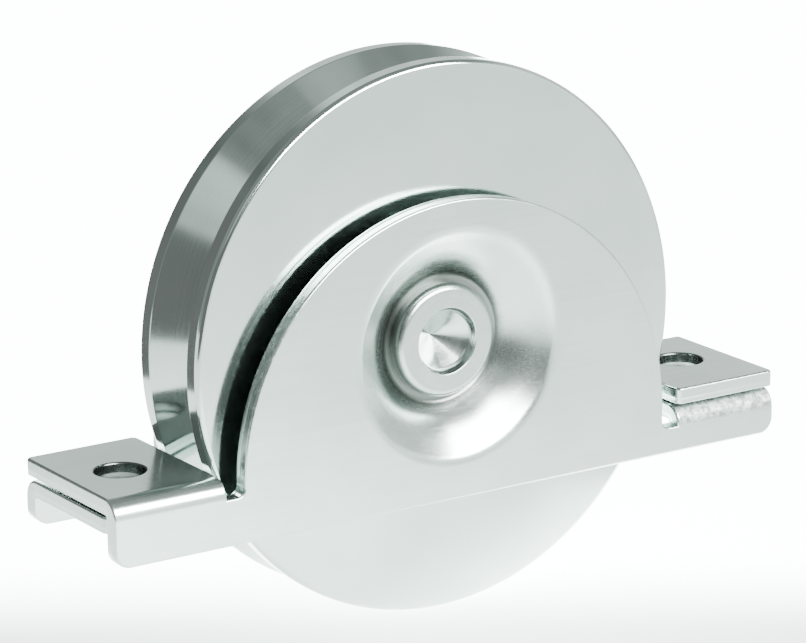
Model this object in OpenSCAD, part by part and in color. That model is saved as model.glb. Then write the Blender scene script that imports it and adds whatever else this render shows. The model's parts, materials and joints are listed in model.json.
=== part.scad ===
// Sliding-gate wheel with an internal support bracket, in millimetres.
// A V-grooved steel wheel turns on a shielded ball bearing. The bearing sits on a riveted axle
// between two identical pressed plates, the rear one being the front one turned half a turn about Z.
// Origin: centre of the wheel on its axle. +X runs along the bracket, +Y along the axle, +Z is up.

/* [Wheel] */
// Outside diameter of the wheel over its two lands
wheel_d = 100; // [96:1:104]
// Width of the wheel across its faces
wheel_w = 20; // [19:0.5:21]
// Opening of the V groove at the rim; its walls stand at 90 degrees to each other
groove_open = 13; // [10:0.5:14]
// Radius at the bottom of the V groove
groove_r = 1.5; // [1:0.1:2.5]
// Radius on the two outer corners of the rim
rim_r = 1; // [0.5:0.1:1.2]
// Inside radius of the lip that stops the bearing
lip_r = 18; // [17.5:0.1:18.5]

/* [Bearing] */
// Outside diameter of the ball bearing
bearing_d = 40; // [39.5:0.5:40.5]
// Bore of the ball bearing, which is also the shank of the axle
bearing_bore = 17; // [16:0.5:17]
// Width of the ball bearing
bearing_w = 12; // [12:0.5:13]
// Number of balls
ball_n = 8; // [7:1:8]
// Diameter of each ball
ball_d = 6.75; // [6.5:0.05:6.75]
// Running clearance between a ball and each race
ball_gap = 0.03; // [0.02:0.01:0.05]

/* [Plates] */
// Thickness of the pressed sheet
sheet_t = 3; // [2.5:0.1:3]
// Length of a plate from end to end
plate_l = 140; // [138:1:150]
// Overall width across the outer faces of the two plates
bracket_w = 32; // [32:0.5:33]
// Outside radius of the arch
arch_r = 44.5; // [44:0.5:45]
// Height of the arch's centre above the axle
arch_z = -18; // [-18.5:0.5:-17.5]
// Height of the upper tab's top face above the axle
tab_z = -16; // [-16.5:0.5:-15.5]
// Height of the plates' lower edge above the axle
strip_z = -28; // [-30:0.5:-27.5]
// Distance from the middle to the inner end of each tab
tab_x = 48; // [47.5:0.5:49]
// Gap between an upper tab and the lower tab under it
tab_gap = 0.5; // [0.3:0.1:0.8]
// Inside radius of the fold between a plate and its tabs
fold_r = 0.5; // [0.3:0.1:0.8]
// Radius on the lower corners of a plate
strip_corner_r = 3; // [2:0.5:4]
// Radius on the free corners of a tab
tab_corner_r = 1.2; // [0.8:0.1:2]
// Radius in the inner corner of each relief notch
notch_r = 1.5; // [1:0.1:2]
// Distance between the two bolt holes
hole_pitch = 120; // [118:1:122]
// Diameter of the bolt holes
hole_d = 9; // [8:0.5:10]

/* [Dish] */
// Radius at which the dish's side meets the plate's outer face
dish_r = 20.9; // [20.8:0.1:21.2]
// Radius at which the side turns from its shallow outer slope to its steep inner one
knee_r = 15.8; // [15.4:0.1:16]
// Radius at which the dish's side meets its floor
floor_r = 11.6; // [11.5:0.1:11.8]
// Slope of the side near the mouth
mouth_angle = 31; // [30:0.5:32]
// Outer radius of the bend around the mouth of the dish
mouth_bend_r = 4; // [3.8:0.1:4.2]
// Outer radius of the bend between the two slopes
knee_bend_r = 20; // [12:1:22]
// Inner radius of the bend around the floor of the dish
floor_bend_r = 1.5; // [1:0.1:1.7]

/* [Axle] */
// Radius of each riveted head
head_r = 10.3; // [9.8:0.1:10.6]
// Height of each riveted head above the floor of the dish
head_h = 3; // [2.5:0.1:3.5]
// Rounding on the edge of each head
head_edge_r = 1.4; // [1:0.1:1.6]
// Radius of the punch mark in each head
punch_r = 6.1; // [5.5:0.1:6.5]
// Depth of the punch mark
punch_h = 6.1; // [5.5:0.1:6.3]
// Depth of the steep wall around the punch mark's cone
punch_wall_h = 1.4; // [1:0.1:1.8]
// How far the steep wall leans inwards over that depth
punch_wall_in = 0.5; // [0.3:0.1:0.7]
// Rounding between the steep wall and the cone
punch_bend_r = 2; // [1:0.1:2.5]

/* [Hidden] */
$fn = 96;
SMALL_FN = 32;

// Wheel
wheel_r = wheel_d / 2;
groove_half = groove_open / 2;
groove_depth = groove_half;
groove_arc_z = wheel_r - groove_depth + groove_r * sqrt(2);
mouth_wall = 2.5;
mouth_r = lip_r + 3;
edge_break = 0.6;

// Bearing
bearing_r = bearing_d / 2;
bore_r = bearing_bore / 2;
bearing_half = bearing_w / 2;
pitch_r = (bearing_r + bore_r) / 2;
ball_r = ball_d / 2;
race_r = 1.04 * ball_r;
inner_race_r = pitch_r - ball_r - ball_gap;
outer_race_r = pitch_r + ball_r + ball_gap;
shoulder_h = 0.2 * ball_d;
inner_shoulder_r = inner_race_r + shoulder_h;
outer_shoulder_r = outer_race_r - shoulder_h;
shield_t = 0.4;
shield_y = bearing_half - 0.9;
shield_seat_r = outer_shoulder_r + 0.95;
shield_hole_r = inner_shoulder_r + 0.3;
shield_rim_t = 0.35;
shield_rim_h = 0.75;

// Cage
cage_t = 0.6;
pocket_r = ball_r + 0.15;
cage_inner_r = inner_shoulder_r + 0.65;
cage_outer_r = outer_shoulder_r - 0.65;
cage_rivet_r = 0.5;
cage_rivet_head_r = 0.9;
cage_rivet_head_h = 0.4;
ball_step = 360 / ball_n;

// Snap ring, a round wire sprung into a groove beside the bearing
wire_r = 1;
wire_ring_r = bearing_r + 0.1;
wire_y = bearing_half + wire_r + 0.05;
wire_groove_r = wire_r + 0.1;
wire_gap_angle = 24;

// Plates
plate_half_l = plate_l / 2;
plate_y = bracket_w / 2;
fold_outer_r = fold_r + sheet_t;
lower_tab_z = tab_z - sheet_t - tab_gap;
lower_tab_edge_y = plate_y - sheet_t - tab_gap;
dish_web_r = dish_r + 3.5;
dish_floor_y = bearing_half + sheet_t;
knee_y = plate_y - (dish_r - knee_r) * tan(mouth_angle);
wall_angle = atan((knee_y - dish_floor_y) / (knee_r - floor_r));

// Axle
head_y = dish_floor_y + head_h;

// Turns a shape revolved or extruded about Z so that it lies along +Y.
module along_y() {
    rotate([-90, 0, 0]) children();
}

// A ring or disc revolved about the axle from a profile of (radius, Y) points.
module revolve() {
    along_y() rotate_extrude() children();
}

// The sliver between a corner and the arc of radius r that rounds it.
// a1 and a2 are the directions of the corner's two sides, less than 180 degrees apart.
// root is how far its tip reaches beyond the corner, where it is to be joined on instead of cut away.
module corner_sliver(at, a1, a2, r, root = 0) {
    half = (a2 - a1) / 2;
    reach = r / tan(half);
    t1 = at + reach * [cos(a1), sin(a1)];
    t2 = at + reach * [cos(a2), sin(a2)];
    inwards = [cos(a1 + half), sin(a1 + half)];
    centre = at + r / sin(half) * inwards;
    difference() {
        polygon([at - root * inwards, t1, centre, t2]);
        translate(centre) circle(r);
    }
}

// A rectangle given by two opposite corners.
module box_2d(low, high) {
    translate(low) square(high - low);
}

// Section of the V groove, open towards a larger radius.
module groove_section() {
    tangent = groove_r / sqrt(2);
    polygon([
        [wheel_r + 1, groove_half + 1],
        [groove_arc_z - tangent, tangent],
        [groove_arc_z - tangent, -tangent],
        [wheel_r + 1, -groove_half - 1]
    ]);
    translate([groove_arc_z, 0]) circle(groove_r);
}

// Section of the wheel: bearing seat, lip and mouth on the front side, open seat on the rear side.
module wheel_section() {
    half_w = wheel_w / 2;
    difference() {
        box_2d([lip_r, -half_w], [wheel_r, half_w]);
        corner_sliver([wheel_r, half_w], 180, 270, rim_r);
        corner_sliver([wheel_r, -half_w], 90, 180, rim_r);
        groove_section();
        box_2d([lip_r - 1, -bearing_half], [bearing_r, half_w + 1]);
        polygon([[lip_r, mouth_wall - half_w], [mouth_r, -half_w], [lip_r, -half_w]]);
        polygon([
            [bearing_r, half_w - edge_break], [bearing_r + edge_break, half_w], [bearing_r, half_w]
        ]);
        translate([wire_ring_r, wire_y]) circle(wire_groove_r, $fn = SMALL_FN);
    }
}

module wheel_body() {
    color("#c4cac8") revolve() wheel_section();
}

module snap_ring() {
    color("#8d9190")
        along_y()
            rotate([0, 0, 90 + wire_gap_angle / 2])
                rotate_extrude(angle = 360 - wire_gap_angle)
                    translate([wire_ring_r, wire_y]) circle(wire_r, $fn = SMALL_FN);
}

module bearing_outer_ring() {
    color("#b9bdbe") revolve()
        difference() {
            box_2d([outer_shoulder_r, -bearing_half], [bearing_r, bearing_half]);
            translate([outer_race_r - race_r, 0]) circle(race_r);
            for (side = [-1, 1]) {
                shield_step(side);
                polygon([
                    [bearing_r, side * bearing_half],
                    [bearing_r - edge_break, side * bearing_half],
                    [bearing_r, side * (bearing_half - edge_break)]
                ]);
            }
        }
}

// The step in the outer ring that a shield is pressed into.
module shield_step(side) {
    low = side > 0 ? shield_y : -bearing_half - 1;
    box_2d([outer_shoulder_r - 1, low], [shield_seat_r, low + bearing_half + 1 - shield_y]);
}

module bearing_inner_ring() {
    color("#b9bdbe") revolve()
        difference() {
            box_2d([bore_r, -bearing_half], [inner_shoulder_r, bearing_half]);
            translate([inner_race_r + race_r, 0]) circle(race_r);
            for (side = [-1, 1])
                polygon([
                    [bore_r, side * bearing_half],
                    [bore_r + edge_break, side * bearing_half],
                    [bore_r, side * (bearing_half - edge_break)]
                ]);
        }
}

// A pressed shield on the +Y side: a flat washer with a short rim held in the outer ring.
module shield() {
    color("#9fa4a5") revolve() {
        box_2d([shield_hole_r, shield_y], [shield_seat_r, shield_y + shield_t]);
        box_2d([shield_seat_r - shield_rim_t, shield_y], [shield_seat_r, shield_y + shield_rim_h]);
    }
}

module shield_front() {
    rotate([0, 0, 180]) shield();
}

module shield_rear() {
    shield();
}

// Places a copy at each ball, or half a step further round with offset = 0.5, facing outwards along X.
module around_pitch(offset = 0) {
    for (i = [0 : ball_n - 1])
        rotate([0, -(i + offset) * ball_step, 0]) translate([pitch_r, 0, 0]) children();
}

// A cylinder along X, centred on the pitch circle and long enough to cross the cage.
module pocket_bore(r) {
    rotate([0, 90, 0]) cylinder(r = r, h = 2 * ball_r, center = true);
}

// One pressed half of the cage, on the +Y side: flats between the balls and a pocket over each ball.
module cage_half() {
    color("#a8a498")
        difference() {
            intersection() {
                union() {
                    revolve() box_2d([cage_inner_r - 1, 0], [cage_outer_r + 1, cage_t]);
                    around_pitch() pocket_bore(pocket_r + cage_t);
                }
                revolve() box_2d([cage_inner_r, 0], [cage_outer_r, pocket_r + 2 * cage_t]);
            }
            around_pitch() pocket_bore(pocket_r);
            around_pitch(0.5) along_y() cylinder(r = cage_rivet_r, h = 4 * cage_t, center = true);
        }
}

module cage_half_rear() {
    cage_half();
}

module cage_half_front() {
    mirror([0, 1, 0]) cage_half();
}

// The rivets that hold the two halves of the cage together, as a group of separate solids.
module cage_rivets() {
    color("#8f8c82")
        around_pitch(0.5) revolve() {
            box_2d([0, -cage_t], [cage_rivet_r, cage_t]);
            for (side = [-1, 1]) {
                low = side > 0 ? cage_t : -cage_t - cage_rivet_head_h;
                box_2d([0, low], [cage_rivet_head_r, low + cage_rivet_head_h]);
            }
        }
}

// One ball, by its number from 1 up, counted from +X towards +Z.
module ball(number) {
    color("#d5d9da")
        rotate([0, -(number - 1) * ball_step, 0]) translate([pitch_r, 0, 0]) along_y() sphere(ball_r);
}

// Section of the punch mark in the head on the +Y side, with a sharp bend between its wall and its cone.
module punch_section() {
    polygon([
        [0, head_y - punch_h], [punch_r - punch_wall_in, head_y - punch_wall_h],
        [punch_r, head_y], [0, head_y]
    ]);
}

// Metal that rounds that bend.
module punch_bend() {
    corner = [punch_r - punch_wall_in, head_y - punch_wall_h];
    wall = atan2(punch_wall_h, punch_wall_in);
    cone = 180 + atan2(punch_h - punch_wall_h, corner[0]);
    corner_sliver(corner, wall, cone, punch_bend_r, 0.2);
}

module axle_rivet() {
    color("#b4bab8") revolve()
        union() {
            difference() {
                union() {
                    box_2d([0, -dish_floor_y], [bore_r, dish_floor_y]);
                    box_2d([0, dish_floor_y], [head_r, head_y]);
                    box_2d([0, -head_y], [head_r, -dish_floor_y]);
                }
                corner_sliver([head_r, head_y], 180, 270, head_edge_r);
                corner_sliver([head_r, -head_y], 90, 180, head_edge_r);
                punch_section();
                mirror([0, 1]) punch_section();
            }
            punch_bend();
            mirror([0, 1]) punch_bend();
        }
}

// Outline of a plate's flat web in X and Z. The upper tab is on the -X side, the lower one on +X.
module web_outline() {
    difference() {
        union() {
            intersection() {
                translate([0, arch_z]) circle(arch_r);
                box_2d([-arch_r, arch_z], [arch_r, arch_z + arch_r]);
            }
            box_2d([-arch_r, strip_z], [arch_r, arch_z]);
            web_arm(-1, tab_z - fold_outer_r);
            web_arm(1, lower_tab_z - fold_outer_r);
        }
        corner_sliver([-plate_half_l, strip_z], 0, 90, strip_corner_r);
        corner_sliver([plate_half_l, strip_z], 90, 180, strip_corner_r);
        circle(dish_web_r);
    }
}

// The arm of the web under a tab, with the rounded inner corner of its relief notch.
module web_arm(side, top) {
    x_low = side > 0 ? arch_r : -plate_half_l;
    box_2d([x_low, strip_z], [x_low + plate_half_l - arch_r, top]);
    corner_sliver([side * arch_r, top], side > 0 ? 0 : 90, side > 0 ? 90 : 180, notch_r);
}

// The dish around the axle, revolved from the sheet's section, with its flat rim out to the web.
module dish_section() {
    back_y = sheet_t - plate_y;
    mean_angle = (mouth_angle + wall_angle) / 2;
    knee_t = sheet_t / cos((wall_angle - mouth_angle) / 2);
    front_mouth = [dish_r, -plate_y];
    front_knee = [knee_r, -knee_y];
    front_floor = [floor_r, -dish_floor_y];
    back_mouth = [dish_r + sheet_t * tan(mouth_angle / 2), back_y];
    back_knee = front_knee + knee_t * [sin(mean_angle), cos(mean_angle)];
    back_floor = [floor_r + sheet_t * tan(wall_angle / 2), -bearing_half];
    difference() {
        union() {
            polygon([
                [dish_web_r, -plate_y], front_mouth, front_knee, front_floor, [bore_r, -dish_floor_y],
                [bore_r, -bearing_half], back_floor, back_knee, back_mouth, [dish_web_r, back_y]
            ]);
            corner_sliver(front_floor, 180, 360 - wall_angle, floor_bend_r);
            corner_sliver(back_knee, -mouth_angle, 180 - wall_angle, knee_bend_r - sheet_t);
            corner_sliver(back_mouth, 0, 180 - mouth_angle, mouth_bend_r - sheet_t);
        }
        corner_sliver(front_mouth, 0, 180 - mouth_angle, mouth_bend_r);
        corner_sliver(front_knee, -mouth_angle, 180 - wall_angle, knee_bend_r);
        corner_sliver(back_floor, 180, 360 - wall_angle, floor_bend_r + sheet_t);
    }
}

// Section of a tab and its fold in Y and Z. The tab's top face is at height top, its free edge at edge_y.
module tab_section(top, edge_y) {
    fold_centre = [fold_outer_r - plate_y, top - fold_outer_r];
    box_2d([fold_centre[0], top - sheet_t], [edge_y, top]);
    translate(fold_centre)
        intersection() {
            difference() {
                circle(fold_outer_r);
                circle(fold_r, $fn = SMALL_FN);
            }
            box_2d([-fold_outer_r, 0], [0, fold_outer_r]);
        }
}

// A folded tab with its bolt hole, on the +X side for side = 1 and the -X side for side = -1.
module tab(side, top, edge_y) {
    x_low = side > 0 ? tab_x : -plate_half_l;
    length = plate_half_l - tab_x;
    difference() {
        translate([x_low, 0, 0]) rotate([90, 0, 90]) linear_extrude(length) tab_section(top, edge_y);
        translate([0, 0, top - 2 * sheet_t])
            linear_extrude(3 * sheet_t) {
                translate([side * hole_pitch / 2, 0]) circle(d = hole_d);
                corner_sliver([x_low, edge_y], 270, 360, tab_corner_r);
                corner_sliver([x_low + length, edge_y], 180, 270, tab_corner_r);
            }
    }
}

// One pressed plate. Its upper tab reaches over the other plate's fold, and its lower tab stops
// short of the other plate's inner face.
module plate() {
    color("#ccd2cf") union() {
        translate([0, sheet_t - plate_y, 0]) rotate([90, 0, 0]) linear_extrude(sheet_t) web_outline();
        revolve() dish_section();
        tab(-1, tab_z, plate_y);
        tab(1, lower_tab_z, lower_tab_edge_y);
    }
}

module front_plate() {
    plate();
}

module rear_plate() {
    rotate([0, 0, 180]) plate();
}

wheel_body();
snap_ring();
bearing_outer_ring();
bearing_inner_ring();
shield_front();
shield_rear();
cage_half_front();
cage_half_rear();
cage_rivets();
ball(1);  // ball_1
ball(2);  // ball_2
ball(3);  // ball_3
ball(4);  // ball_4
ball(5);  // ball_5
ball(6);  // ball_6
ball(7);  // ball_7
ball(8);  // ball_8
axle_rivet();
front_plate();
rear_plate();
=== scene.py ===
"""Looks of a sliding gate's wheel: pressed plates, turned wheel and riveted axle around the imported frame."""

import json
import math

import bmesh
import bpy
from mathutils import Matrix, Vector


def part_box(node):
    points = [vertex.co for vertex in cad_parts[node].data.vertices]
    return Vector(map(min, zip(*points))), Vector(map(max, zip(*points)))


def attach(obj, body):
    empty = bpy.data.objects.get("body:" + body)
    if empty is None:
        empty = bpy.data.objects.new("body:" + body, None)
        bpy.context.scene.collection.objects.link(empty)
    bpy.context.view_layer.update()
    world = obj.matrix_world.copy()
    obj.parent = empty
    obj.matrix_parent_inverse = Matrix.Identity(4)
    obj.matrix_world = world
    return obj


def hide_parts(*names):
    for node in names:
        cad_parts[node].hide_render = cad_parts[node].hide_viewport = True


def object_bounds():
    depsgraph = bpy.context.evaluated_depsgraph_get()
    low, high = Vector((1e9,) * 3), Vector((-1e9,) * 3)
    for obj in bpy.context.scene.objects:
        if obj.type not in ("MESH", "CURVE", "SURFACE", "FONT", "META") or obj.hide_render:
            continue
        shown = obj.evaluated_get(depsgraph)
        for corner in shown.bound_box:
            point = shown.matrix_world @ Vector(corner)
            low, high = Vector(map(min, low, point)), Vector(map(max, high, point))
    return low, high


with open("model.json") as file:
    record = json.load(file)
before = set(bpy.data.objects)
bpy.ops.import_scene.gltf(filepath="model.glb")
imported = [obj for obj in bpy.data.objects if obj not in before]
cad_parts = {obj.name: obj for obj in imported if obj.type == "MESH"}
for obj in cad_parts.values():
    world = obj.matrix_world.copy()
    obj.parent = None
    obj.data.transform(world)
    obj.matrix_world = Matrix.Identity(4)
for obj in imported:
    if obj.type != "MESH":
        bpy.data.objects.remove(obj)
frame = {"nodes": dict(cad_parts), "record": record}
cad_low, cad_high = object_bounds()
record = frame["record"]

MM = 0.001
X, Y, Z = Vector((1, 0, 0)), Vector((0, 1, 0)), Vector((0, 0, 1))

# ---------------------------------------------------------------------------
# Sizes in millimetres. The overall ones come from the frame, the rest repeat the design's own dimensions.
# ---------------------------------------------------------------------------
wheel_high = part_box("wheel_body")[1] / MM
plate_low, plate_high = (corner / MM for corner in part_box("front_plate"))
axle_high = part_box("axle_rivet")[1] / MM
bearing_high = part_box("bearing_outer_ring")[1] / MM
snap_low, snap_high = (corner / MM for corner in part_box("snap_ring"))
bolt_holes = next(m for m in record["mounts"] if m["name"] == "bolt_holes")

WHEEL_R = wheel_high.z
WHEEL_HALF_W = wheel_high.y
BEARING_R = bearing_high.z
BEARING_HALF_W = bearing_high.y
BORE_R = 8.5
GROOVE_HALF = 6.5
GROOVE_BOTTOM_R = 1.5
RIM_R = 1.0
LIP_R = 18.0
LIP_WALL = 1.5
MOUTH_R = 21.0
SEAT_BREAK = 0.6
SEAT_EDGE_R = 0.15
LIP_EDGE_R = 0.3
SNAP_Y = (snap_low.y + snap_high.y) / 2
SNAP_GROOVE_R = 1.1
SNAP_RING_R = BEARING_R + 0.1

HALF_L = plate_high.x
PLATE_Y = -plate_low.y
STRIP_Z = plate_low.z
SHEET_T = 3.0
ARCH_R = 44.5
ARCH_Z = plate_high.z - ARCH_R
FOLD_R = 0.5
FOLD_OUTER_R = FOLD_R + SHEET_T
TAB_Z = bolt_holes["pos_m"][2] / MM
TAB_GAP = 0.5
LOWER_TAB_Z = TAB_Z - SHEET_T - TAB_GAP
LOWER_TAB_EDGE_Y = PLATE_Y - SHEET_T - TAB_GAP
TAB_X = 48.0
TAB_CORNER_R = 1.2
STRIP_CORNER_R = 3.0
NOTCH_R = 1.5
HOLE_X = bolt_holes["dims"]["spacing_x_mm"] / 2
HOLE_R = bolt_holes["dims"]["hole_r_mm"]

DISH_R = 20.9
DISH_WEB_R = DISH_R + 3.5
KNEE_R = 15.8
FLOOR_R = 11.6
FLOOR_Y = BEARING_HALF_W + SHEET_T
MOUTH_ANGLE = math.radians(31)
KNEE_Y = PLATE_Y - (DISH_R - KNEE_R) * math.tan(MOUTH_ANGLE)
WALL_ANGLE = math.atan2(KNEE_Y - FLOOR_Y, KNEE_R - FLOOR_R)
MOUTH_BEND_R = 4.0
KNEE_BEND_R = 20.0
FLOOR_BEND_R = 1.5

HEAD_R = axle_high.z
HEAD_Y = axle_high.y
HEAD_EDGE_R = 1.4
PUNCH_R = 6.1
PUNCH_DEPTH = 6.1
PUNCH_WALL_DEPTH = 1.4
PUNCH_CONE_R = PUNCH_R - 0.5
PUNCH_BEND_R = 2.0
PUNCH_RIM_R = 0.2

# Edge rounding: pressed sheet is rolled over on the die side and nearly sharp on the other.
DIE_ROLL = 0.45
BURR_BREAK = 0.18
FRACTURE_STEP = 0.04
FRACTURE_START = 1.75
TURNED_BREAK = 0.3


# ---------------------------------------------------------------------------
# Mesh helpers
# ---------------------------------------------------------------------------
class Maker:
    """Collects faces with a normal at each corner. Corners at the same place share one vertex."""

    def __init__(self):
        self.index, self.points = {}, []
        self.faces, self.normals, self.slots = [], [], []

    def vertex(self, point):
        key = tuple(round(c, 4) + 0.0 for c in point)
        if key not in self.index:
            self.index[key] = len(self.points)
            self.points.append(Vector(point))
        return self.index[key]

    def face(self, corners, slot=0):
        """corners is a list of (point, normal). The winding is set from the normals."""
        ids, normals = [], []
        for point, normal in corners:
            i = self.vertex(point)
            if i not in ids:
                ids.append(i)
                normals.append(Vector(normal).normalized())
        if len(ids) < 3:
            return
        area = Vector()
        for i in range(len(ids)):
            area += self.points[ids[i - 1]].cross(self.points[ids[i]])
        if area.dot(sum(normals, Vector())) < 0:
            ids.reverse()
            normals.reverse()
        self.faces.append(ids)
        self.normals.append(normals)
        self.slots.append(slot)

    def build(self, name, turned=False):
        """Makes the object, in metres. turned gives it half a turn about Z."""
        turn = Matrix.Rotation(math.pi, 3, "Z") if turned else Matrix.Identity(3)
        bm = bmesh.new()
        verts = [bm.verts.new(turn @ p * MM) for p in self.points]
        for ids, slot in zip(self.faces, self.slots):
            face = bm.faces.new([verts[i] for i in ids])
            face.smooth = True
            face.material_index = slot
        mesh = bpy.data.meshes.new(name)
        bm.to_mesh(mesh)
        bm.free()
        mesh.normals_split_custom_set([turn @ n for normals in self.normals for n in normals])
        obj = bpy.data.objects.new(name, mesh)
        bpy.context.scene.collection.objects.link(obj)
        return obj


def profile(corners, steps=8, closed=False):
    """Spans of (point, normal) along a section of (radius, y, rounding) corners, with the material on the
    left of the way they run. Each straight and each rounding is a span of its own."""
    corners = [tuple(c) + (0,) * (3 - len(c)) for c in corners]
    count = len(corners)
    ends = []
    arcs = []
    for i, (r, y, rounding) in enumerate(corners):
        p = Vector((r, y))
        if rounding == 0 or (not closed and i in (0, count - 1)):
            ends.append((p, p))
            arcs.append(None)
            continue
        a = (Vector(corners[i - 1][:2]) - p).normalized()
        b = (Vector(corners[(i + 1) % count][:2]) - p).normalized()
        half = a.angle(b) / 2
        reach = rounding / math.tan(half)
        start, end = p + a * reach, p + b * reach
        centre = p + (a + b).normalized() * (rounding / math.sin(half))
        ends.append((start, end))
        arcs.append((centre, start, end))
    spans = []
    for i in range(count):
        if arcs[i]:
            centre, start, end = arcs[i]
            first, last = start - centre, end - centre
            turn = math.atan2(first.cross(last), first.dot(last))
            out = 1 if turn > 0 else -1
            span = []
            for k in range(steps + 1):
                spoke = Matrix.Rotation(turn * k / steps, 2) @ first
                span.append((centre + spoke, spoke.normalized() * out))
            spans.append(span)
        if i + 1 < count or closed:
            start, end = ends[i][1], ends[(i + 1) % count][0]
            if (end - start).length > 1e-6:
                along = (end - start).normalized()
                normal = Vector((along.y, -along.x))
                spans.append([(start, normal), (end, normal)])
    return spans


def revolve(maker, spans, steps):
    """Turns spans of a section about the axle."""
    spokes = [(math.sin(math.tau * i / steps), -math.cos(math.tau * i / steps)) for i in range(steps + 1)]
    spokes[-1] = spokes[0]

    def place(corner, spoke):
        (r, y), (nr, ny) = corner
        sx, sz = spoke
        return Vector((r * sx, y, r * sz)), Vector((nr * sx, ny, nr * sz))

    for span in spans:
        for first, second in zip(span, span[1:]):
            for one, two in zip(spokes, spokes[1:]):
                maker.face([place(first, one), place(first, two), place(second, two), place(second, one)])


# ---------------------------------------------------------------------------
# Pressed plate
# ---------------------------------------------------------------------------
DISH_STEPS = 240
ROLL_STEPS = 5
FOLD_STEPS = 16
HOLE_STEPS = 72


class Edge:
    """A point on a sheet's outline: its place on the outer face, the outer face's normal, and the
    outward directions of the cut edge before and after it."""

    def __init__(self, place, face, before, after=None):
        self.place, self.face = Vector(place), Vector(face)
        self.before = Vector(before)
        self.after = Vector(before if after is None else after)
        self.mitre = (self.before + self.after) / (1 + self.before.dot(self.after))

    def section(self, out):
        """(point, normal) across the cut edge, from the outer face to the inner one."""
        corners = []
        inner = self.place - self.face * SHEET_T
        for k in range(ROLL_STEPS + 1):
            t = math.pi / 2 * k / ROLL_STEPS
            s, c = math.sin(t), math.cos(t)
            point = self.place - self.mitre * DIE_ROLL * (1 - s) - self.face * DIE_ROLL * (1 - c)
            corners.append((point, self.face * c + out * s))
        step = self.mitre * FRACTURE_STEP
        corners.append((self.place - self.face * FRACTURE_START, out))
        lean = (out + self.face * -0.25).normalized()
        corners.append((self.place - self.face * (FRACTURE_START + 0.25) - step, lean))
        for k in range(ROLL_STEPS + 1):
            t = math.pi / 2 * k / ROLL_STEPS
            s, c = math.sin(t), math.cos(t)
            point = inner - step - self.mitre * BURR_BREAK * (1 - c) + self.face * BURR_BREAK * (1 - s)
            corners.append((point, out * c - self.face * s))
        return corners

    def outer(self):
        return self.place - self.mitre * DIE_ROLL, self.face

    def inner(self):
        inset = FRACTURE_STEP + BURR_BREAK
        return self.place - self.mitre * inset - self.face * SHEET_T, -self.face


def add_cut(maker, edges):
    """Faces of the cut edge along a run of outline points."""
    for one, two in zip(edges, edges[1:]):
        first, second = one.section(one.after), two.section(two.before)
        for k in range(len(first) - 1):
            maker.face([first[k], first[k + 1], second[k + 1], second[k]], slot=1)


def arc_edges(cx, cz, r, start, end, steps, inside=False, place=None, face=None):
    """Outline points on an arc, angles in degrees. inside is for a hollow rounding."""
    edges = []
    for i in range(steps + 1):
        a = math.radians(start + (end - start) * i / steps)
        spoke = (math.cos(a), math.sin(a))
        out = -1 if inside else 1
        where = place(cx + r * spoke[0], cz + r * spoke[1])
        edges.append(Edge(where, face, place(out * spoke[0], out * spoke[1], flat=True)))
    return edges


def on_web(x, z, flat=False):
    return Vector((x, 0 if flat else -PLATE_Y, z))


def web_edges():
    """The web's outline from the bottom middle round the right, over the arch and back on the left."""
    low, corner, notch = STRIP_Z, STRIP_CORNER_R, NOTCH_R
    right_top, left_top = LOWER_TAB_Z - FOLD_OUTER_R, TAB_Z - FOLD_OUTER_R
    common = {"place": on_web, "face": -Y}
    right = [Edge(on_web(0, low), -Y, -Z)]
    right += arc_edges(HALF_L - corner, low + corner, corner, 270, 360, 12, **common)
    right.append(Edge(on_web(HALF_L, right_top), -Y, X))
    arch = [Edge(on_web(TAB_X, right_top), -Y, -X, Z)]
    arch += arc_edges(ARCH_R + notch, right_top + notch, notch, 270, 180, 10, inside=True, **common)
    arch += arc_edges(0, ARCH_Z, ARCH_R, 0, 180, 160, **common)
    arch += arc_edges(-ARCH_R - notch, left_top + notch, notch, 0, -90, 10, inside=True, **common)
    arch.append(Edge(on_web(-TAB_X, left_top), -Y, Z, X))
    left = [Edge(on_web(-HALF_L, left_top), -Y, -X)]
    left += arc_edges(-HALF_L + corner, low + corner, corner, 180, 270, 12, **common)
    left.append(Edge(on_web(0, low), -Y, -Z))
    return right, arch, left


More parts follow.
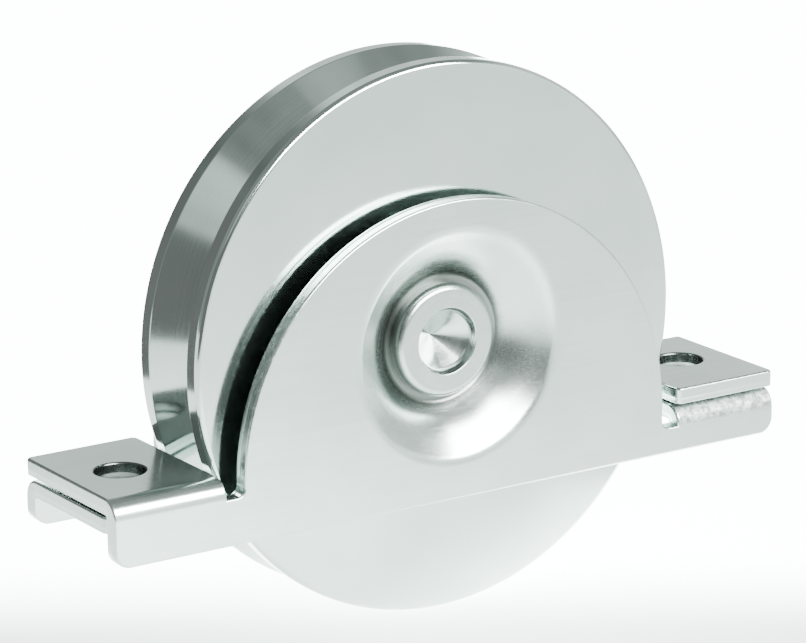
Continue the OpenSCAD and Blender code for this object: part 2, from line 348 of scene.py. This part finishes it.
def add_tab(maker, side, top, edge_y):
    """A fold and its tab with the bolt hole, on the +X side for side = 1."""
    centre_y, centre_z = FOLD_OUTER_R - PLATE_Y, top - FOLD_OUTER_R
    inner_x, outer_x = side * TAB_X, side * HALF_L
    folds = []
    for x, out in ((inner_x, -side), (outer_x, side)):
        edges = []
        for i in range(FOLD_STEPS + 1):
            a = math.radians(180 - 90 * i / FOLD_STEPS)
            face = Vector((0, math.cos(a), math.sin(a)))
            edges.append(Edge(Vector((x, centre_y, centre_z)) + face * FOLD_OUTER_R, face, X * out))
        folds.append(edges)
    near, far = folds
    for i in range(FOLD_STEPS):
        for pick in (Edge.outer, Edge.inner):
            maker.face([pick(near[i]), pick(near[i + 1]), pick(far[i + 1]), pick(far[i])])

    def on_tab(x, y, flat=False):
        return Vector((x, y, 0 if flat else top))

    r = TAB_CORNER_R
    common = {"place": on_tab, "face": Z}
    inner_side = [near[-1], Edge(on_tab(inner_x, 0), Z, X * -side)]
    if side > 0:
        far_side = arc_edges(inner_x + r, edge_y - r, r, 180, 90, 8, **common)
        far_side += arc_edges(outer_x - r, edge_y - r, r, 90, 0, 8, **common)
    else:
        far_side = arc_edges(inner_x - r, edge_y - r, r, 0, 90, 8, **common)
        far_side += arc_edges(outer_x + r, edge_y - r, r, 90, 180, 8, **common)
    outer_side = [Edge(on_tab(outer_x, 0), Z, X * side), far[-1]]
    add_cut(maker, near + inner_side[1:] + far_side + outer_side[:1] + far[::-1])

    hole = arc_edges(side * HOLE_X, 0, HOLE_R, 0, 360, HOLE_STEPS, inside=True, **common)
    hole[-1] = hole[0]
    add_cut(maker, hole)
    half = HOLE_STEPS // 2
    turn = hole[:half + 1] if side > 0 else hole[:half + 1][::-1]
    back = hole[half:] if side > 0 else hole[half:][::-1]
    for pick in (Edge.outer, Edge.inner):
        beyond = [inner_side[1]] + far_side + [outer_side[0]] + turn
        maker.face([pick(e) for e in beyond])
        before = [outer_side[0], far[-1], near[-1], inner_side[1]] + back
        maker.face([pick(e) for e in before])
    return near, far


def make_plate(name, turned):
    maker = Maker()
    right, arch, left = web_edges()
    right_near, right_far = add_tab(maker, 1, LOWER_TAB_Z, LOWER_TAB_EDGE_Y)
    left_near, left_far = add_tab(maker, -1, TAB_Z, PLATE_Y)
    for run in (right, arch, left):
        add_cut(maker, run)
    # The short straight strips where a fold's rounded end meets the rounded top of the web.
    for corner, fold in ((arch[0], right_near[0]), (arch[-1], left_near[0])):
        out = fold.before
        first, second = corner.section(out), fold.section(out)
        for k in range(len(first) - 1):
            maker.face([first[k], first[k + 1], second[k + 1], second[k]], slot=1)

    mean, half = (MOUTH_ANGLE + WALL_ANGLE) / 2, (WALL_ANGLE - MOUTH_ANGLE) / 2
    knee_t = SHEET_T / math.cos(half)
    front = profile([
        (BORE_R, -FLOOR_Y), (FLOOR_R, -FLOOR_Y, FLOOR_BEND_R), (KNEE_R, -KNEE_Y, KNEE_BEND_R),
        (DISH_R, -PLATE_Y, MOUTH_BEND_R), (DISH_WEB_R, -PLATE_Y)
    ], 14)
    back = profile([
        (DISH_WEB_R, SHEET_T - PLATE_Y),
        (DISH_R + SHEET_T * math.tan(MOUTH_ANGLE / 2), SHEET_T - PLATE_Y, MOUTH_BEND_R - SHEET_T),
        (KNEE_R + knee_t * math.sin(mean), knee_t * math.cos(mean) - KNEE_Y, KNEE_BEND_R - SHEET_T),
        (FLOOR_R + SHEET_T * math.tan(WALL_ANGLE / 2), -BEARING_HALF_W, FLOOR_BEND_R + SHEET_T),
        (BORE_R, -BEARING_HALF_W)
    ], 14)
    bore = profile([(BORE_R, -BEARING_HALF_W), (BORE_R, -FLOOR_Y)])
    revolve(maker, front + back + bore, DISH_STEPS)

    for pick, y in ((Edge.outer, -PLATE_Y), (Edge.inner, SHEET_T - PLATE_Y)):
        normal = -Y if pick is Edge.outer else Y
        ring = []
        for i in range(DISH_STEPS + 1):
            a = math.tau * (i % DISH_STEPS) / DISH_STEPS
            ring.append((Vector((DISH_WEB_R * math.sin(a), y, -DISH_WEB_R * math.cos(a))), normal))
        half = DISH_STEPS // 2
        top = min(range(len(arch)), key=lambda i: abs(arch[i].place.x) - arch[i].place.z)
        outline = [pick(e) for e in right]
        outline += [pick(right_far[0]), pick(right_near[0])]
        outline += [pick(e) for e in arch[:top + 1]]
        maker.face(outline + ring[half::-1])
        outline = [pick(e) for e in arch[top:]]
        outline += [pick(left_near[0]), pick(left_far[0])]
        outline += [pick(e) for e in left]
        maker.face(outline + ring[:half - 1:-1])
    return maker.build(name, turned)


# ---------------------------------------------------------------------------
# Wheel and axle
# ---------------------------------------------------------------------------
WHEEL_STEPS = 360
AXLE_STEPS = 144
SNAP_STEPS = 16


def make_wheel():
    maker = Maker()
    half, small = WHEEL_HALF_W, TURNED_BREAK
    reach = math.sqrt(SNAP_GROOVE_R ** 2 - (SNAP_RING_R - BEARING_R) ** 2)
    corners = [
        (MOUTH_R, -half, small), (WHEEL_R, -half, RIM_R), (WHEEL_R, -GROOVE_HALF, small),
        (WHEEL_R - GROOVE_HALF, 0, GROOVE_BOTTOM_R), (WHEEL_R, GROOVE_HALF, small), (WHEEL_R, half, RIM_R),
        (BEARING_R + SEAT_BREAK, half, SEAT_EDGE_R), (BEARING_R, half - SEAT_BREAK, SEAT_EDGE_R),
        (BEARING_R, SNAP_Y + reach, 0)
    ]
    start = math.atan2(reach, BEARING_R - SNAP_RING_R)
    for k in range(1, SNAP_STEPS):
        a = start - 2 * start * k / SNAP_STEPS
        corners.append((SNAP_RING_R + SNAP_GROOVE_R * math.cos(a), SNAP_Y + SNAP_GROOVE_R * math.sin(a), 0))
    corners += [
        (BEARING_R, SNAP_Y - reach, 0), (BEARING_R, -BEARING_HALF_W, 0),
        (LIP_R, -BEARING_HALF_W, SEAT_EDGE_R), (LIP_R, -BEARING_HALF_W - LIP_WALL, LIP_EDGE_R)
    ]
    revolve(maker, profile(corners, 8, closed=True), WHEEL_STEPS)
    return maker.build("wheel_turned")


def make_axle():
    maker = Maker()
    spans = profile([
        (0, PUNCH_DEPTH - HEAD_Y), (PUNCH_CONE_R, PUNCH_WALL_DEPTH - HEAD_Y, PUNCH_BEND_R),
        (PUNCH_R, -HEAD_Y, PUNCH_RIM_R), (HEAD_R, -HEAD_Y, HEAD_EDGE_R), (HEAD_R, -FLOOR_Y),
        (BORE_R, -FLOOR_Y), (BORE_R, FLOOR_Y), (HEAD_R, FLOOR_Y), (HEAD_R, HEAD_Y, HEAD_EDGE_R),
        (PUNCH_R, HEAD_Y, PUNCH_RIM_R), (PUNCH_CONE_R, HEAD_Y - PUNCH_WALL_DEPTH, PUNCH_BEND_R),
        (0, HEAD_Y - PUNCH_DEPTH)
    ])
    revolve(maker, spans, AXLE_STEPS)
    return maker.build("axle_headed")


wheel = make_wheel()
axle = make_axle()
front_plate = make_plate("front_plate_pressed", turned=False)
rear_plate = make_plate("rear_plate_pressed", turned=True)

for piece, node, body, slot in (
    (wheel, "wheel_body", "wheel", "turned_wheel_zinc"),
    (axle, "axle_rivet", "bracket", "axle_zinc"),
    (front_plate, "front_plate", "bracket", "plate_zinc"),
    (rear_plate, "rear_plate", "bracket", "plate_zinc"),
):
    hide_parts(node)
    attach(piece, body)


# ---------------------------------------------------------------------------
# Materials
# ---------------------------------------------------------------------------
class Graph:
    """A node tree under construction."""

    def __init__(self, tree):
        self.tree = tree
        tree.nodes.clear()

    def add(self, kind, inputs=None, **settings):
        """Adds a node. Inputs go by name or number, as a value or as an output to link from."""
        node = self.tree.nodes.new("ShaderNode" + kind)
        for name, value in settings.items():
            setattr(node, name, value)
        for name, value in (inputs or {}).items():
            if isinstance(value, bpy.types.NodeSocket):
                self.tree.links.new(value, node.inputs[name])
            else:
                node.inputs[name].default_value = value
        return node

    def math(self, operation, a, b=0.0, c=0.0):
        return self.add("Math", {0: a, 1: b, 2: c}, operation=operation).outputs[0]

    def remap(self, value, from_low, from_high, to_low, to_high, smooth=False):
        node = self.add("MapRange", {
            "Value": value, "From Min": from_low, "From Max": from_high, "To Min": to_low, "To Max": to_high
        }, interpolation_type="SMOOTHSTEP" if smooth else "LINEAR")
        return node.outputs["Result"]

    def noise(self, vector, scale, detail=2.0, roughness=0.5):
        inputs = {"Vector": vector, "Scale": scale, "Detail": detail, "Roughness": roughness}
        return self.add("TexNoise", inputs).outputs["Fac"]

    def millimetres(self, seed=0.0):
        """The piece's own coordinates in millimetres, shifted by a seed so that two pieces differ."""
        place = self.add("TexCoord").outputs["Object"]
        node = self.add("VectorMath", {0: place, 1: (1 / MM,) * 3, 2: (seed, seed * 0.7, seed * 1.3)},
                        operation="MULTIPLY_ADD")
        return node.outputs["Vector"]

    def stretch(self, vector, factors):
        return self.add("VectorMath", {0: vector, 1: factors}, operation="MULTIPLY").outputs["Vector"]

    def turned(self, seed=0.0):
        """Coordinates for turning marks, in millimetres: distance from the axle and place along it."""
        return self.add("CombineXYZ", {0: self.radius(), 1: self.along(), 2: seed}).outputs[0]

    def radius(self):
        """Distance from the axle in millimetres."""
        x, y, z = self.add("SeparateXYZ", {0: self.millimetres()}).outputs
        return self.math("SQRT", self.math("MULTIPLY_ADD", x, x, self.math("MULTIPLY", z, z)))

    def along(self):
        """Place along the axle in millimetres."""
        return self.add("SeparateXYZ", {0: self.millimetres()}).outputs[1]

    def mix(self, factor, low, high):
        node = self.add("Mix", data_type="RGBA")
        for socket, value in ((node.inputs[0], factor), (node.inputs[6], low), (node.inputs[7], high)):
            if isinstance(value, bpy.types.NodeSocket):
                self.tree.links.new(value, socket)
            else:
                socket.default_value = value
        return node.outputs[2]

    def bump(self, height, strength, distance, normal=None):
        inputs = {"Height": height, "Strength": strength, "Distance": distance}
        if normal is not None:
            inputs["Normal"] = normal
        return self.add("Bump", inputs).outputs["Normal"]


def metal(name, low, high, tone, roughness, normal, darkened=None, dark_colour=None):
    """Finishes a metal. low and high are its darkest and lightest colours, blended by tone; the last two
    arguments give a mask and a darker colour that it takes there instead, used for painted shade and, on the
    plates, the darker fold."""
    material = bpy.data.materials.new(name)
    material.use_nodes = True
    g = Graph(material.node_tree)
    shader = g.add("BsdfPrincipled", {"Metallic": 1.0})
    colour = g.mix(tone(g), (*low, 1), (*high, 1))
    if darkened:
        colour = g.mix(darkened(g), colour, (*dark_colour, 1))
    g.tree.links.new(colour, shader.inputs["Base Color"])
    g.tree.links.new(roughness(g), shader.inputs["Roughness"])
    g.tree.links.new(normal(g), shader.inputs["Normal"])
    g.add("OutputMaterial", {"Surface": shader.outputs[0]})
    return material


def sheet_zinc(name, seed):
    """Bright zinc on rolled sheet: grain along its length, cloudy gloss and a faint ripple. Painted shade
    makes the dish a little darker and the corner around the riveted head dark; the fold below the other
    plate's tab is darker and blotchy."""
    def tone(g):
        place = g.millimetres(seed)
        cloud = g.noise(place, 0.06, 3, 0.55)
        grain = g.noise(g.stretch(place, (0.03, 2.2, 2.2)), 1.0, 4, 0.65)
        return g.remap(g.math("MULTIPLY_ADD", grain, 0.45, g.math("MULTIPLY", cloud, 0.55)), 0.38, 0.62, 0, 1)

    def darkened(g):
        place = g.millimetres(seed + 13)
        out = g.math("MULTIPLY_ADD", g.noise(place, 0.5, 3, 0.6), 1.2, g.radius())
        # Painted shade: a dark ring in the corner around the riveted head, and a little darker over the dish.
        corner = g.remap(out, 12.2, 14.0, 0.7, 0, True)
        dish = g.remap(out, DISH_R - 2.0, DISH_R + 0.5, 0.3, 0, True)
        # Darker blotches on the fold below the other plate's tab.
        blotches = g.remap(g.noise(place, 0.9, 3, 0.65), 0.38, 0.6, 0.25, 0.95)
        return g.math("MULTIPLY_ADD", fold_under_tab(g), blotches, g.math("ADD", corner, dish))

    def fold_under_tab(g):
        """The fold below the other plate's tab, made darker, blotchy, rougher and bumpier."""
        x, y, z = g.add("SeparateXYZ", {0: g.millimetres()}).outputs
        ragged = g.noise(g.millimetres(seed + 17), 0.6, 3, 0.6)
        height = g.math("MULTIPLY_ADD", ragged, 1.5, z)
        side = g.math("MULTIPLY", g.remap(x, TAB_X - 3, TAB_X - 1, 0, 1),
                      g.remap(z, LOWER_TAB_Z + 0.1, LOWER_TAB_Z + 0.4, 1, 0))
        return g.math("MULTIPLY", side, g.remap(height, LOWER_TAB_Z - 3.2, LOWER_TAB_Z - 2.0, 0, 1, True))

    def roughness(g):
        place = g.millimetres(seed + 3)
        cloud = g.noise(place, 0.045, 3, 0.6)
        grain = g.noise(g.stretch(place, (0.05, 3.0, 3.0)), 1.0, 3, 0.6)
        both = g.math("MULTIPLY_ADD", grain, 0.5, g.math("MULTIPLY", cloud, 0.5))
        plain = g.math("MULTIPLY_ADD", darkened(g), 0.12, g.remap(both, 0.35, 0.65, 0.16, 0.26))
        return g.math("MULTIPLY_ADD", fold_under_tab(g), 0.3, plain)

    def normal(g):
        place = g.millimetres(seed + 7)
        ripple = g.noise(place, 0.05, 1, 0.4)
        grain = g.noise(g.stretch(place, (0.06, 4.5, 4.5)), 1.0, 3, 0.6)
        pits = g.noise(place, 2.5, 2, 0.5)
        first = g.bump(ripple, 0.25, 0.00035)
        second = g.bump(grain, 0.5, 0.0000035, first)
        third = g.bump(pits, 0.35, 0.000004, second)
        scuffs = g.math("MULTIPLY", fold_under_tab(g), g.noise(place, 1.6, 3, 0.6))
        return g.bump(scuffs, 0.6, 0.00006, third)

    # Its dark colour is painted shade in the dish and round the head, and also the darker blotches on the
    # fold.
    return metal(name, (0.455, 0.532, 0.505), (0.528, 0.608, 0.58), tone, roughness, normal,
                 darkened, (0.15, 0.17, 0.16))


def sheared_zinc(name, seed):
    """Zinc over a sheared edge: short score lines across the thickness, and painted shade inside the bolt
    holes.
    """
    def lines(g):
        place = g.millimetres(seed)
        return g.noise(g.stretch(place, (5.5, 0.6, 5.5)), 1.0, 4, 0.7)

    def tone(g):
        return g.remap(lines(g), 0.3, 0.7, 0, 1)

    # Painted shade inside the bolt holes.
    def darkened(g):
        x, y, z = g.add("SeparateXYZ", {0: g.millimetres()}).outputs
        off = g.math("SUBTRACT", g.math("ABSOLUTE", x), HOLE_X)
        away = g.math("SQRT", g.math("MULTIPLY_ADD", off, off, g.math("MULTIPLY", y, y)))
        return g.remap(away, HOLE_R + 0.1, HOLE_R + 0.5, 0.94, 0, True)

    def roughness(g):
        place = g.millimetres(seed + 2)
        return g.remap(g.noise(place, 0.8, 3, 0.6), 0.3, 0.7, 0.17, 0.30)

    def normal(g):
        return g.bump(lines(g), 0.5, 0.000010)

    # The near-black colour is painted shade inside the bolt holes.
    return metal(name, (0.44, 0.515, 0.49), (0.52, 0.60, 0.57), tone, roughness, normal,
                 darkened, (0.09, 0.102, 0.097))


def turned_zinc(name, seed):
    """Bright zinc over a finely turned surface: rings about the axle, nearly a mirror, with slight clouds."""
    def tone(g):
        place = g.millimetres(seed)
        cloud = g.noise(place, 0.05, 3, 0.55)
        rings = g.noise(g.stretch(g.turned(seed), (3.0, 3.0, 1)), 1.0, 3, 0.6)
        return g.remap(g.math("MULTIPLY_ADD", rings, 0.35, g.math("MULTIPLY", cloud, 0.65)), 0.38, 0.62, 0, 1)

    def roughness(g):
        cloud = g.noise(g.millimetres(seed + 5), 0.07, 3, 0.6)
        rings = g.noise(g.stretch(g.turned(seed + 5), (5.0, 5.0, 1)), 1.0, 3, 0.6)
        both = g.math("MULTIPLY_ADD", rings, 0.4, g.math("MULTIPLY", cloud, 0.6))
        return g.remap(both, 0.35, 0.65, 0.075, 0.15)

    def normal(g):
        rings = g.noise(g.stretch(g.turned(seed + 9), (6.0, 6.0, 1)), 1.0, 2, 0.5)
        ripple = g.noise(g.millimetres(seed), 0.07, 1, 0.4)
        first = g.bump(ripple, 0.2, 0.0002)
        return g.bump(rings, 0.5, 0.0000016, first)

    return metal(name, (0.45, 0.525, 0.50), (0.52, 0.60, 0.57), tone, roughness, normal)


def headed_zinc(name, seed):
    """Thin zinc over the riveted axle: marks of the riveting tool round the axle and a smooth punched cone,
    with painted shade on the punch's wall and on the head's sides down in the corner."""
    def rings(g, shift=0.0):
        return g.noise(g.stretch(g.turned(seed + shift), (2.4, 2.4, 1)), 1.0, 3, 0.6)

    def tone(g):
        cloud = g.noise(g.millimetres(seed), 0.22, 3, 0.6)
        both = g.math("MULTIPLY_ADD", rings(g), 0.5, g.math("MULTIPLY", cloud, 0.5))
        return g.remap(both, 0.36, 0.64, 0, 1)

    # Painted shade on the punch's wall and on the head's sides down in the corner.
    def darkened(g):
        out = g.math("MULTIPLY_ADD", g.noise(g.millimetres(seed + 13), 0.5, 3, 0.6), 0.6, g.radius())
        wall = g.math("MULTIPLY", g.remap(out, PUNCH_CONE_R + 0.1, PUNCH_CONE_R + 0.5, 0, 0.85, True),
                      g.remap(g.radius(), PUNCH_R - 0.15, PUNCH_R, 1, 0))
        return g.math("ADD", wall, g.remap(out, 9.7, 10.6, 0, 1, True))

    def punched(g):
        return g.remap(g.radius(), PUNCH_R - 0.5, PUNCH_R, 1, 0, True)

    def roughness(g):
        cloud = g.noise(g.millimetres(seed + 4), 0.3, 3, 0.6)
        both = g.math("MULTIPLY_ADD", rings(g, 2.0), 0.5, g.math("MULTIPLY", cloud, 0.5))
        return g.math("MULTIPLY_ADD", punched(g), -0.03, g.remap(both, 0.35, 0.65, 0.19, 0.29))

    def normal(g):
        flat = g.math("SUBTRACT", 1.0, punched(g))
        marks = g.math("MULTIPLY", rings(g, 5.0), flat)
        grain = g.noise(g.millimetres(seed + 8), 3.0, 2, 0.5)
        return g.bump(grain, 0.3, 0.000004, g.bump(marks, 0.5, 0.000008))

    # Its dark colour is painted shade on the punch's wall and the head's sides.
    return metal(name, (0.39, 0.455, 0.428), (0.468, 0.535, 0.508), tone, roughness, normal,
                 darkened, (0.16, 0.18, 0.17))


def ringed_steel(name, low, high, rough_low, rough_high, ring_scale, ring_depth, seed):
    """Plain steel with marks running round the axle, for the bearing's rings and shields."""
    def rings(g, shift=0.0):
        return g.noise(g.stretch(g.turned(seed + shift), (ring_scale, ring_scale, 1)), 1.0, 3, 0.6)

    def tone(g):
        cloud = g.noise(g.millimetres(seed), 0.25, 3, 0.6)
        both = g.math("MULTIPLY_ADD", rings(g), 0.5, g.math("MULTIPLY", cloud, 0.5))
        return g.remap(both, 0.36, 0.64, 0, 1)

    def roughness(g):
        cloud = g.noise(g.millimetres(seed + 4), 0.3, 3, 0.6)
        both = g.math("MULTIPLY_ADD", rings(g, 2.0), 0.5, g.math("MULTIPLY", cloud, 0.5))
        return g.remap(both, 0.35, 0.65, rough_low, rough_high)

    def normal(g):
        return g.bump(rings(g, 5.0), 0.5, ring_depth)

    return metal(name, low, high, tone, roughness, normal)


def grained_steel(name, low, high, rough_low, rough_high, scale, depth, seed):
    """Plain steel with an even fine grain, for the balls, the cage, its rivets and the spring wire."""
    def grain(g, shift=0.0):
        return g.noise(g.millimetres(seed + shift), scale, 4, 0.6)

    return metal(
        name, low, high,
        lambda g: g.remap(grain(g), 0.35, 0.65, 0, 1),
        lambda g: g.remap(grain(g, 3.0), 0.35, 0.65, rough_low, rough_high),
        lambda g: g.bump(grain(g, 6.0), 0.4, depth),
    )


def finish(obj, *materials):
    """Gives obj its materials. Clearing the list also resets every face's slot, so an empty one is left."""
    if len(obj.data.materials):
        obj.data.materials.clear()
    for material in materials:
        obj.data.materials.append(material)


finish(wheel, turned_zinc("wheel_bright_zinc", 11.0))
finish(front_plate, sheet_zinc("front_sheet_zinc", 23.0), sheared_zinc("front_sheared_zinc", 31.0))
finish(rear_plate, sheet_zinc("rear_sheet_zinc", 71.0), sheared_zinc("rear_sheared_zinc", 83.0))
finish(axle, headed_zinc("axle_thin_zinc", 5.0))

ground = ringed_steel("ground_steel", (0.52, 0.53, 0.53), (0.62, 0.63, 0.63), 0.10, 0.18, 8.0, 0.000001, 2.0)
pressed = ringed_steel("shield_steel", (0.47, 0.49, 0.49), (0.58, 0.60, 0.60), 0.22, 0.34, 1.6, 0.000004, 6.0)
polished = grained_steel("ball_steel", (0.62, 0.63, 0.64), (0.68, 0.69, 0.70), 0.04, 0.08, 1.2, 6e-7, 8.0)
phosphated = grained_steel("cage_steel", (0.36, 0.34, 0.30), (0.50, 0.48, 0.43), 0.30, 0.45, 1.8, 5e-6, 9.0)
spring = grained_steel("spring_steel", (0.20, 0.205, 0.205), (0.31, 0.315, 0.31), 0.28, 0.42, 1.5, 6e-6, 4.0)
nodes = frame["nodes"]
for name in ("bearing_outer_ring", "bearing_inner_ring"):
    finish(nodes[name], ground)
for name in ("shield_front", "shield_rear"):
    finish(nodes[name], pressed)
for name in ("cage_half_front", "cage_half_rear", "cage_rivets"):
    finish(nodes[name], phosphated)
for name in sorted(nodes):
    if name.startswith("ball_"):
        finish(nodes[name], polished)
finish(nodes["snap_ring"], spring)


# ---------------------------------------------------------------------------
# Studio: a pale floor, a key softbox in front, two dark cards and a dim room
# ---------------------------------------------------------------------------
PALE_GREEN = (0.93, 1.0, 0.97)
VIEW_AZIMUTH = -33
BEHIND_GLOW = 15.0
FLOOR_REACH = 6.0
ROOM_GLOW = 0.42


def heading(azimuth_deg, elevation_deg):
    """Direction from the object. Azimuth 0 is the front, -Y, and 90 is +X."""
    a, e = math.radians(azimuth_deg), math.radians(elevation_deg)
    return Vector((math.sin(a) * math.cos(e), -math.cos(a) * math.cos(e), math.sin(e)))


def panel(name, place, width, height, radiance):
    """A rectangular softbox with the given radiance, facing the middle of the axle."""
    data = bpy.data.lights.new(name, "AREA")
    data.shape = "RECTANGLE"
    data.size, data.size_y = width, height
    data.energy = radiance * width * height * math.pi
    light = bpy.data.objects.new(name, data)
    light.location = place
    light.rotation_mode = "QUATERNION"
    light.rotation_quaternion = (-place).to_track_quat("-Z", "Y")
    bpy.context.scene.collection.objects.link(light)
    return light


def upright(bm, corners):
    """One rectangular face from its corners."""
    bm.faces.new([bm.verts.new(corner) for corner in corners])


def staged(name, bm, material):
    """A stage object that isn't part of the wheel."""
    mesh = bpy.data.meshes.new(name)
    bm.to_mesh(mesh)
    bm.free()
    mesh.materials.append(material)
    obj = bpy.data.objects.new(name, mesh)
    bpy.context.scene.collection.objects.link(obj)
    return obj


def make_floor():
    """A pale floor that glows. It is evenly bright behind the wheel, which is nearly all that the camera
    sees of it. In front, where the wheel mirrors it, it is dimmer, with a brighter spot on the left."""
    material = bpy.data.materials.new("floor_pale")
    material.use_nodes = True
    g = Graph(material.node_tree)
    place = g.add("NewGeometry").outputs["Position"]

    def along_floor(turn):
        inputs = {0: place, 1: tuple(heading(turn, 0))}
        return g.add("VectorMath", inputs, operation="DOT_PRODUCT").outputs["Value"]

    def away_from(x, y):
        inputs = {0: place, 1: (x, y, cad_low.z)}
        return g.add("VectorMath", inputs, operation="DISTANCE").outputs["Value"]

    ahead, aside = along_floor(VIEW_AZIMUTH), along_floor(VIEW_AZIMUTH + 90)
    spot = g.remap(away_from(-0.045, -0.095), 0.02, 0.12, 2.6, 0.0, True)
    front = g.math("ADD", g.remap(away_from(0, 0), 0.08, 0.42, 3.2, 1.9), spot)
    spread = g.math("MULTIPLY_ADD", ahead, 0.11, g.math("ABSOLUTE", aside))
    behind = g.math("MULTIPLY", g.remap(ahead, -0.025, 0.028, 1.0, 0.0, True),
                    g.remap(spread, 0.076, 0.10, 1, 0, True))
    glow = g.math("MULTIPLY_ADD", behind, g.math("SUBTRACT", BEHIND_GLOW, front), front)
    shader = g.add("AddShader", {
        0: g.add("BsdfDiffuse", {"Color": (0.8, 0.8, 0.8, 1)}).outputs[0],
        1: g.add("Emission", {"Color": (*PALE_GREEN, 1), "Strength": glow}).outputs[0]
    })
    clear = g.add("BsdfTransparent")
    under = g.add("NewGeometry").outputs["Backfacing"]
    mixed = g.add("MixShader", {0: under, 1: shader.outputs[0], 2: clear.outputs[0]})
    g.add("OutputMaterial", {"Surface": mixed.outputs[0]})
    bm = bmesh.new()
    level_z = cad_low.z - 0.0004
    sides = ((-1, -1), (1, -1), (1, 1), (-1, 1))
    upright(bm, [(FLOOR_REACH * x, FLOOR_REACH * y, level_z) for x, y in sides])
    staged("floor", bm, material)


def make_card(name, azimuth_deg, distance, width, low, high, radiance):
    """A dark card standing beside the object to shape its reflections. It is seen in reflections only."""
    material = bpy.data.materials.new(name)
    material.use_nodes = True
    g = Graph(material.node_tree)
    light = g.add("Emission", {"Color": (1, 1, 1, 1), "Strength": radiance})
    g.add("OutputMaterial", {"Surface": light.outputs[0]})
    away = heading(azimuth_deg, 0)
    along = Z.cross(away)
    foot = away * distance
    bm = bmesh.new()
    upright(bm, [
        foot - along * width / 2 + Z * low, foot + along * width / 2 + Z * low,
        foot + along * width / 2 + Z * high, foot - along * width / 2 + Z * high
    ])
    card = staged(name, bm, material)
    card.visible_camera = card.visible_diffuse = card.visible_shadow = False
    card.visible_transmission = card.visible_volume_scatter = False


def make_room():
    """A dim room around the wheel. Its brighter and darker regions are spans of azimuth and elevation, in
    degrees: left, right, low, high, the softness of the region's edges, and its radiance."""
    world = bpy.data.worlds.new("room")
    bpy.context.scene.world = world
    world.use_nodes = True
    g = Graph(world.node_tree)
    towards = g.add("TexCoord").outputs["Generated"]
    x, y, z = g.add("SeparateXYZ", {0: towards}).outputs
    turn = g.math("DEGREES", g.math("ARCTAN2", x, g.math("MULTIPLY", y, -1.0)))
    rise = g.math("DEGREES", g.math("ARCSINE", z))

    def span(value, low, high, soft):
        return g.math("MULTIPLY", g.remap(value, low - soft, low + soft, 0, 1, True),
                      g.remap(value, high - soft, high + soft, 1, 0, True))

    total = ROOM_GLOW
    for left, right, low, high, soft, radiance in (
        (-76, -13, -10, 23, 2.0, 0.26),
        (-57, -42, 25, 47, 1.5, 1.35),
        (-40, -2, 50, 66, 2.0, 0.36),
        (4, 60, 63, 72, 1.5, 0.75),
        (14, 62, -5, 27, 4.0, 2.6),
        (62, 118, -5, 38, 6.0, 1.5),
        (118, 172, -5, 36, 5.0, 1.35),
        (-180, -146, -5, 36, 4.0, 0.26),
    ):
        inside = g.math("MULTIPLY", span(turn, left, right, soft), span(rise, low, high, soft))
        step = g.math("SUBTRACT", radiance, total)
        total = g.math("MULTIPLY_ADD", inside, step, total)
    clutter = g.noise(towards, 5.0, 2, 0.5)
    uneven = g.remap(clutter, 0.3, 0.7, 0.75, 1.25)
    strength = g.math("MULTIPLY", total, uneven)
    background = g.add("Background", {"Color": (*PALE_GREEN, 1), "Strength": strength})
    g.add("OutputWorld", {"Surface": background.outputs[0]})


make_floor()
make_room()
make_card("card_left", -44, 0.36, 0.42, cad_low.z, 0.145, 0.26)
make_card("card_behind", -155, 0.16, 0.16, cad_low.z, 0.10, 0.26)
key = panel("key_softbox", heading(15, 35) * 2.0, 1.75, 0.9, 52)
key.visible_diffuse = False


# ---------------------------------------------------------------------------
# Camera
# ---------------------------------------------------------------------------
azimuth, elevation, roll = (math.radians(a) for a in (-32.908, 15.411, -0.655))
back = Vector((
    math.sin(azimuth) * math.cos(elevation), -math.cos(azimuth) * math.cos(elevation), math.sin(elevation)
))
level = Vector((math.cos(azimuth), math.sin(azimuth), 0))
over = back.cross(level)
right_way = level * math.cos(roll) + over * math.sin(roll)
up_way = over * math.cos(roll) - level * math.sin(roll)
camera_data = bpy.data.cameras.new("camera")
camera_data.lens = 177.5
camera_data.sensor_width = 36
camera_data.clip_start, camera_data.clip_end = 0.01, 50
camera = bpy.data.objects.new("camera", camera_data)
place = back * 0.7113 - right_way * 0.00135 + up_way * 0.0009
camera.matrix_world = Matrix.Translation(place) @ Matrix((right_way, up_way, back)).transposed().to_4x4()
bpy.context.scene.collection.objects.link(camera)
bpy.context.scene.camera = camera
